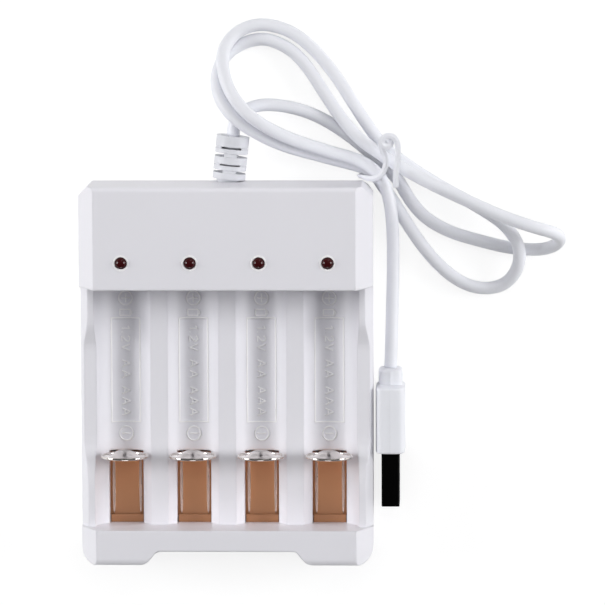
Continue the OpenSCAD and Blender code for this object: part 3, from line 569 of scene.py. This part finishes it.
class CHARGER_OT_tie(ChargerOperator, bpy.types.Operator):
    """Makes the tie: a flat strip with a wire core, carried round the bundle, into a knob and down as a tail

    Its section is an ellipse, thinner away from the core by a bell curve. The strip leans across the bundle
    below it, and turns to lie flat where it comes over.
    """

    bl_idname = "charger.tie"
    bl_label = "Twist tie"

    def execute(self, context):
        lead = context.scene.charger_lead
        spacing, average = 0.2 * MM, 1.4 * MM
        over_from, over_within, across_bundle = 0.36, 0.08, np.array([0.81, -0.586, 0])
        edge_thickness, core_width = 0.5, 0.35
        path = smooth_path(TIE_ROUTE * MM, spacing, average)
        along = unit(np.gradient(path, axis=0))
        over = np.clip((np.linspace(0, 1, len(path)) - over_from) / over_within, 0, 1)[:, None]
        lean = across_bundle * (1 - over) + np.cross(along, [0, 0, 1]) * over
        turn = round_turn(24)
        core = edge_thickness + (1 - edge_thickness) * np.exp(-((np.cos(turn) / core_width) ** 2))
        half_width, half_thickness = lead.tie_width / 2, lead.tie_thickness / 2
        strip = np.stack([half_width * np.cos(turn), half_thickness * np.sin(turn) * core], axis=1)
        path, rings = capped(path, np.broadcast_to(strip, (len(path), *strip.shape)))
        lean = np.vstack([lean[:1], lean, lean[-1:]])
        points, faces = sweep(path, rings, lean)
        piece = mesh_object("twist_tie_strip", points, faces, material("tie_vinyl"))
        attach(piece, "housing")
        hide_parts("twist_tie")
        return {"FINISHED"}


class CHARGER_OT_lead(ChargerOperator, bpy.types.Operator):
    """Makes the lead: a circle carried along the smoothed route from the boot to the plug"""

    bl_idname = "charger.lead"
    bl_label = "Lead"

    def execute(self, context):
        lead = context.scene.charger_lead
        spacing, average, sides = 0.8 * MM, 5 * MM, 20
        path = smooth_path(LEAD_ROUTE * MM, spacing, average)
        path[:, 2] = np.maximum(path[:, 2], lead.diameter / 2)
        rings = np.broadcast_to(circle(lead.diameter / 2, sides), (len(path), sides, 2))
        points, faces = sweep(*capped(path, rings), lean=(0, 0, 1))
        piece = mesh_object("usb_lead", points, faces, material("lead_vinyl"))
        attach(piece, "housing")
        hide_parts("usb_cable")
        return {"FINISHED"}


class CHARGER_OT_discs(ChargerOperator, bpy.types.Operator):
    """Makes the dished contacts: a flange with a rolled rim and a flat-topped cone, about the cell's axis

    The cone rises from its base to its top by a blend of a straight slope and a smooth step, and its top is
    crowned by a parabola.
    """

    bl_idname = "charger.discs"
    bl_label = "Contact discs"

    def execute(self, context):
        flange, roll, base, top, crown_rise = 0.4 * MM, 0.36 * MM, 4.0 * MM, 1.7 * MM, 0.12 * MM
        straight, lap, rim_steps, cone_steps, sides = 0.6, 0.02 * MM, 22, 48, 96
        for bay in BAYS:
            low, high = corners(f"contact_disc_{bay}")
            radius, depth = (high[0] - low[0]) / 2, high[1] - low[1]
            centre = (low + high) / 2
            centre[1] = low[1]
            bend = np.linspace(-np.pi / 2, np.pi - np.arcsin(flange / roll - 1), rim_steps)
            rim = np.stack([radius - roll + roll * np.cos(bend), roll + roll * np.sin(bend)], axis=1)
            reach = np.linspace(rim[-1, 0] - lap, 0, cone_steps)
            slope = np.clip((base - reach) / (base - top), 0, 1)
            slope = straight * slope + (1 - straight) * slope**2 * (3 - 2 * slope)
            crown = crown_rise * (1 - (np.minimum(reach, top) / top) ** 2)
            cone = np.stack([reach, flange + (depth - flange - crown.max()) * slope + crown], axis=1)
            points, faces = lathe(np.vstack([[[0, 0]], rim, cone]), centre, (0, 1, 0), sides)
            piece = mesh_object(f"nickel_disc_{bay}", points, faces, material("nickel_plate"), crease=60)
            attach(piece, f"slider_{bay}")
            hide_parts(f"contact_disc_{bay}")
        return {"FINISHED"}


class CHARGER_OT_folds(ChargerOperator, bpy.types.Operator):
    """Makes the folds along the strips: two low beads, half-round in section, from the disc to the ledge

    The section shrinks to nothing at both ends as a sine to a low power.
    """

    bl_idname = "charger.folds"
    bl_label = "Strip folds"

    def execute(self, context):
        half, rise, sink, count = 0.38 * MM, 0.15 * MM, 0.05 * MM, 24
        offset, start, bus_room, blunt = 3.35 * MM, 0.2 * MM, 0.3 * MM, 0.25
        turn = round_turn(14)
        height = np.where(np.sin(turn) > 0, rise, sink) * np.sin(turn)
        section = np.stack([half * np.cos(turn), height], axis=1)
        rings = (np.sin(np.linspace(0, np.pi, count)) ** blunt)[:, None, None] * section
        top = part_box("negative_bus")[0][2] - bus_room
        faces = grid_faces(count, len(section))
        faces = np.vstack([faces, faces + count * len(section)])
        for bay in BAYS:
            low, high = corners(f"slide_strip_{bay}")
            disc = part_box(f"contact_disc_{bay}")[0][1]
            y = np.linspace(disc - start, disc - STRIP_SEEN * MM, count)
            along = np.broadcast_to(y[:, None], rings.shape[:2])
            middle = (low[0] + high[0]) / 2
            beads = [np.stack([middle + side + rings[..., 0], along, top + rings[..., 1]], axis=-1)
                     for side in (-offset, offset)]
            # The beads' pale copper is partly a painted highlight along the folds.
            piece = mesh_object(f"strip_fold_{bay}", np.stack(beads), faces, material("copper_fold"))
            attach(piece, f"slider_{bay}")
        return {"FINISHED"}


class CHARGER_OT_lamps(ChargerOperator, bpy.types.Operator):
    """Makes the indicator lamps: flange, body and round lens about a vertical axis, and a collar"""

    bl_idname = "charger.lamps"
    bl_label = "Indicator lamps"

    def execute(self, context):
        body, flange_height = 1.5 * MM, MM
        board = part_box("circuit_board")[1][2]
        bend = np.linspace(0, np.pi / 2, 24)
        for bay in BAYS:
            low, high = corners(f"led_{bay}")
            flange, seat = (high[0] - low[0]) / 2, board + flange_height
            lens = np.stack([body * np.cos(bend), high[2] - body + body * np.sin(bend)], axis=1)
            foot = np.array([(0, board), (flange, board), (flange, seat), (body, seat)])
            centre = ((low[0] + high[0]) / 2, (low[1] + high[1]) / 2, 0)
            points, faces = lathe(np.vstack([foot, lens]), centre, (0, 0, 1))
            piece = mesh_object(f"lamp_{bay}", points, faces, material("lamp_resin"), crease=40)
            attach(piece, "housing")
            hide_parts(f"led_{bay}")
            self.collar(bay, body, centre)
        return {"FINISHED"}

    def collar(self, bay, body, centre):
        """Fills the countersink round a lamp: a closed loop down its slope, with a low round top."""
        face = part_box("front_housing")[1][2]
        inner, outer, sink, crown, foot = body + 0.02 * MM, body + 0.5 * MM, 0.3 * MM, 0.07 * MM, 0.06 * MM
        middle, half = (inner + outer) / 2, (outer - inner) / 2
        bend = np.linspace(0, np.pi, 13)
        top = np.stack([middle + half * np.cos(bend), face + crown * np.sin(bend)], axis=1)
        slope = np.array([(inner, face - sink), (inner + foot, face - sink)])
        points, faces = lathe(np.vstack([slope, top]), centre, (0, 0, 1), loop=True)
        # The collar is in the brighter plastic: a painted highlight ring round the lamp.
        piece = mesh_object(f"lamp_collar_{bay}", points, faces, material("mark_plastic"), crease=50)
        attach(piece, "housing")


class CHARGER_OT_springs(ChargerOperator, bpy.types.Operator):
    """Makes the return springs: a circle carried along a helix with closed end turns

    The helix rises by its share of the turns plus a sine of that share, which closes the turns at both ends.
    """

    bl_idname = "charger.springs"
    bl_label = "Return springs"

    def execute(self, context):
        wire_radius, turns, steps, closing, sides = 0.22 * MM, 10, 520, 0.045, 8
        share = np.linspace(0, 1, steps)
        turn = 2 * np.pi * turns * share
        rise = share + closing * np.sin(2 * np.pi * share)
        rings = np.broadcast_to(circle(wire_radius, sides), (steps, sides, 2))
        for bay in BAYS:
            low, high = corners(f"return_spring_{bay}")
            radius, length = (high[0] - low[0]) / 2 - wire_radius, high[1] - low[1]
            y = high[1] - wire_radius + (2 * wire_radius - length) * (rise - rise[0]) / (rise[-1] - rise[0])
            centre = (low + high) / 2
            x, z = centre[0] + radius * np.cos(turn), centre[2] + radius * np.sin(turn)
            path = np.stack([x, y, z], axis=1)
            points, faces = sweep(*capped(path, rings), lean=(0, 1, 0))
            piece = mesh_object(f"spring_coil_{bay}", points, faces, material("spring_wire"))
            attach(piece, "housing")
            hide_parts(f"return_spring_{bay}")
            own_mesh(piece)
        return {"FINISHED"}


def stroke_points(stroke, step):
    """Points at even steps along a polyline."""
    stroke = np.asarray(stroke, float)
    along = np.concatenate([[0], np.cumsum(np.linalg.norm(np.diff(stroke, axis=0), axis=1))])
    even = np.linspace(0, along[-1], max(int(along[-1] / step), 2) + 1)
    return np.stack([np.interp(even, along, stroke[:, k]) for k in range(2)], axis=1)


def bay_strokes(letter):
    """All lines of one bay as (across, along) millimetres, each with its share of the relief."""
    turn = np.radians(np.linspace(0, 360, 49))
    ring = np.stack([RING_RADIUS * np.cos(turn), RING_RADIUS * np.sin(turn)], axis=1)
    strokes = [ring + PLUS_AT, ring + MINUS_AT, *PLUS_BARS, MINUS_BAR, CELL_OUTLINE, CELL_TIP]
    for word, along in MARK_WORDS:
        for sign in word:
            for stroke in GLYPHS[sign]:
                strokes.append(np.array([(letter * (u - 0.5), along - letter * v) for u, v in stroke]))
            along -= letter * GLYPH_STEP[sign]
    return [(stroke, 1.0) for stroke in strokes] + [(GROOVE_OUTLINE, GROOVE_RELIEF)]


class CHARGER_OT_marks(ChargerOperator, bpy.types.Operator):
    """Makes the moulded marks: half-round ridges along each stroke, wrapped round the bay's own cylinder"""

    bl_idname = "charger.marks"
    bl_label = "Moulded marks"

    def execute(self, context):
        marks = context.scene.charger_marks
        all_points, all_faces, count = [], [], 0
        for bay in BAYS:
            low, high = corners(f"contact_disc_{bay}")
            for stroke, relief in bay_strokes(marks.letter / MM):
                points, loop = self.ridge(stroke, relief * marks.relief, marks, (low + high) / 2)
                all_points.append(points.reshape(-1, 3))
                all_faces.append(grid_faces(*points.shape[:2], loop)[:, ::-1] + count)
                count += points.shape[0] * points.shape[1]
        points, faces = np.vstack(all_points), np.vstack(all_faces)
        # The marks are real ridges in the brighter plastic: a painted highlight on top of their own shading.
        piece = mesh_object("bay_marks", points, faces, material("mark_plastic"))
        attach(piece, "housing")
        return {"FINISHED"}

    def ridge(self, stroke, relief, marks, axis):
        """Closed ridge along a stroke: half-round with a sunk base, wrapped round the bay or its groove.

        A place across the bay becomes an angle about its axis, the place divided by the radius.
        """
        step, sides, sink = 0.2, 10, 0.4
        line = stroke_points(stroke, step) * MM
        loop = np.allclose(line[0], line[-1])
        size = np.ones(len(line) - 1 if loop else len(line) + 2)
        if loop:
            line = line[:-1]
            along = unit(np.roll(line, -1, axis=0) - np.roll(line, 1, axis=0))
        else:
            line = line[np.r_[0, np.arange(len(line)), -1]]
            along = unit(np.gradient(line, axis=0))
            size[[0, -1]] = 0
        normal = np.stack([along[:, 1], -along[:, 0]], axis=1)
        turn = round_turn(sides)
        aside = size[:, None] * (marks.ridge / 2 * np.cos(turn))
        height = relief * np.where(np.sin(turn) > 0, 1, sink) * np.sin(turn)
        flat = line[:, None] + normal[:, None] * aside[..., None]
        x, y = flat[..., 0], flat[..., 1]
        in_groove = np.abs(y - GROOVE_MIDDLE * MM) < GROOVE_HALF_LENGTH * MM
        in_groove &= np.abs(x) < GROOVE_HALF_WIDTH * MM
        radius = np.where(in_groove, marks.groove_radius, marks.bay_radius)
        floor = axis[2] - marks.bay_radius - np.where(in_groove, marks.groove_depth, 0)
        around, inside = x / radius, radius - size[:, None] * height
        points = [axis[0] + inside * np.sin(around), y, floor + radius - inside * np.cos(around)]
        return np.stack(points, axis=-1), loop


class CHARGER_OT_solids(ChargerOperator, bpy.types.Operator):
    """Gives each solid that stays on show its own finish"""

    bl_idname = "charger.solids"
    bl_label = "Finish of the solids"

    def execute(self, context):
        kinds = {
            "front_housing": "shell_plastic", "back_cover": "shell_plastic",
            "circuit_board": "phenolic_board", "control_chip": "chip_epoxy", "sense_resistors": "chip_epoxy",
            "negative_bus": "copper_sheet", "lead_wires": "wire_jacket", "cover_screws": "screw_zinc",
            "strain_relief": "boot_vinyl", "plug_shell": "plug_black", "plug_tongue": "plug_tongue",
            "plug_pins": "pin_gold",
        }
        kinds.update({f"positive_contact_{bay}": "nickel_plate" for bay in BAYS})
        kinds.update({f"slide_strip_{bay}": "copper_sheet" for bay in BAYS})
        for node, kind in kinds.items():
            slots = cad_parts[node].data.materials
            slots.clear()
            slots.append(material(kind))
        return {"FINISHED"}


def area_lamp(name, place, aim, size, power):
    """A square soft lamp at a place in metres, turned to a point."""
    up = (0.0, 1.0, 0.01)
    data = bpy.data.lights.new(name, "AREA")
    data.shape, data.size, data.energy = "SQUARE", size, power
    lamp = bpy.data.objects.new(name, data)
    back = unit(np.asarray(place, float) - np.asarray(aim, float))
    right = unit(np.cross(up, back))
    turn = np.eye(4)
    turn[:3, :3] = np.stack([right, np.cross(back, right), back], axis=1)
    turn[:3, 3] = place
    lamp.matrix_world = Matrix(turn.tolist())
    bpy.context.scene.collection.objects.link(lamp)
    return lamp


class CHARGER_OT_stage(ChargerOperator, bpy.types.Operator):
    """Sets the stage: a white floor, lamps on all four sides and above, and a sky brighter beyond the head"""

    bl_idname = "charger.stage"
    bl_label = "Stage"

    def execute(self, context):
        stage = context.scene.charger_stage
        reach, below = 3.0, -0.0002
        sides = np.array([(-1, -1), (1, -1), (1, 1), (-1, 1)])
        paper = np.column_stack([reach * sides, np.full(len(sides), below)])
        floor = mesh_object("studio_floor", paper, np.array([[0, 1, 2, 3]]), self.floor_paper())
        for name, (place, size, power) in LAMPS.items():
            lamp = area_lamp(name, place, LAMP_AIM, size, getattr(stage, power))
            # Metal and resin mirror only the lamps at the sides.
            lamp.visible_glossy = name != "top_softbox"
        context.scene.world = self.sky(stage.sky)
        context.scene.view_settings.view_transform = "Standard"
        return {"FINISHED"}

    def sky(self, strength):
        """White light from all round, which grows evenly with its direction along Y, from -1 to 1."""
        least, most = 0.5, 1.5
        world = bpy.data.worlds.new("studio_world")
        world.use_nodes = True
        tree = world.node_tree
        light = tree.nodes["Background"].inputs
        light["Color"].default_value = (1, 1, 1, 1)
        place, split, fade = add(tree, "TexCoord", "SeparateXYZ", "MapRange")
        fade.inputs["From Min"].default_value = -1.0
        fade.inputs["To Min"].default_value = strength * least
        fade.inputs["To Max"].default_value = strength * most
        wire(tree,
             (place.outputs["Generated"], split.inputs["Vector"]), (split.outputs["Y"], fade.inputs["Value"]),
             (fade.outputs["Result"], light["Strength"]))
        return world

    def floor_paper(self):
        """White paper that glows a little for the camera and for reflections, and still takes the shadow."""
        lit, shaded, glow_strength = (0.8, 0.8, 0.8, 1), (0.3, 0.3, 0.3, 1), 0.8
        paper = bpy.data.materials.new("floor_paper")
        paper.use_nodes = True
        tree = paper.node_tree
        tree.nodes.clear()
        out, plain, seen, glow = add(tree, "OutputMaterial", "BsdfDiffuse", "BsdfDiffuse", "Emission")
        plain.inputs["Color"].default_value = lit
        seen.inputs["Color"].default_value = shaded
        glow.inputs["Color"].default_value = (1, 1, 1, 1)
        glow.inputs["Strength"].default_value = glow_strength
        both, choose, ray = add(tree, "AddShader", "MixShader", "LightPath")
        first, second = add(tree, "Math", "Math")
        first.operation = second.operation = "MAXIMUM"
        wire(tree,
             (ray.outputs["Is Camera Ray"], first.inputs[0]), (ray.outputs["Is Glossy Ray"], first.inputs[1]),
             (first.outputs[0], second.inputs[0]), (ray.outputs["Is Transmission Ray"], second.inputs[1]),
             (seen.outputs[0], both.inputs[0]), (glow.outputs[0], both.inputs[1]),
             (second.outputs[0], choose.inputs[0]), (plain.outputs[0], choose.inputs[1]),
             (both.outputs[0], choose.inputs[2]), (choose.outputs[0], out.inputs["Surface"]))
        return paper


OPERATORS = (
    CHARGER_OT_camera, CHARGER_OT_overmould, CHARGER_OT_tie, CHARGER_OT_lead, CHARGER_OT_discs,
    CHARGER_OT_folds, CHARGER_OT_lamps, CHARGER_OT_springs, CHARGER_OT_marks, CHARGER_OT_solids,
    CHARGER_OT_stage,
)
GROUPS = {
    "charger_finish": ChargerFinish, "charger_lead": ChargerLead,
    "charger_marks": ChargerMarks, "charger_stage": ChargerStage,
}


class CHARGER_PT_pieces(bpy.types.Panel):
    """Lists the charger's pieces and their settings"""

    bl_idname = "CHARGER_PT_pieces"
    bl_label = "Battery Charger"
    bl_space_type = "VIEW_3D"
    bl_region_type = "UI"
    bl_category = "Charger"

    def draw(self, context):
        for operator in OPERATORS:
            self.layout.operator(operator.bl_idname)
        for name in GROUPS:
            group = getattr(context.scene, name)
            box = self.layout.box()
            for key in group.bl_rna.properties.keys():
                if key not in {"rna_type", "name"}:
                    box.prop(group, key)


CLASSES = (*GROUPS.values(), *OPERATORS, CHARGER_PT_pieces)


def register():
    """Makes the classes and their settings known to Blender."""
    for cls in CLASSES:
        bpy.utils.register_class(cls)
    for name, group in GROUPS.items():
        setattr(bpy.types.Scene, name, PointerProperty(type=group))


def unregister():
    """Takes the settings and the classes out again."""
    for name in GROUPS:
        delattr(bpy.types.Scene, name)
    for cls in reversed(CLASSES):
        bpy.utils.unregister_class(cls)


def main():
    """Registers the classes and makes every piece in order."""
    register()
    for operator in OPERATORS:
        family, name = operator.bl_idname.split(".")
        getattr(getattr(bpy.ops, family), name)()


if __name__ == "__main__":
    main()
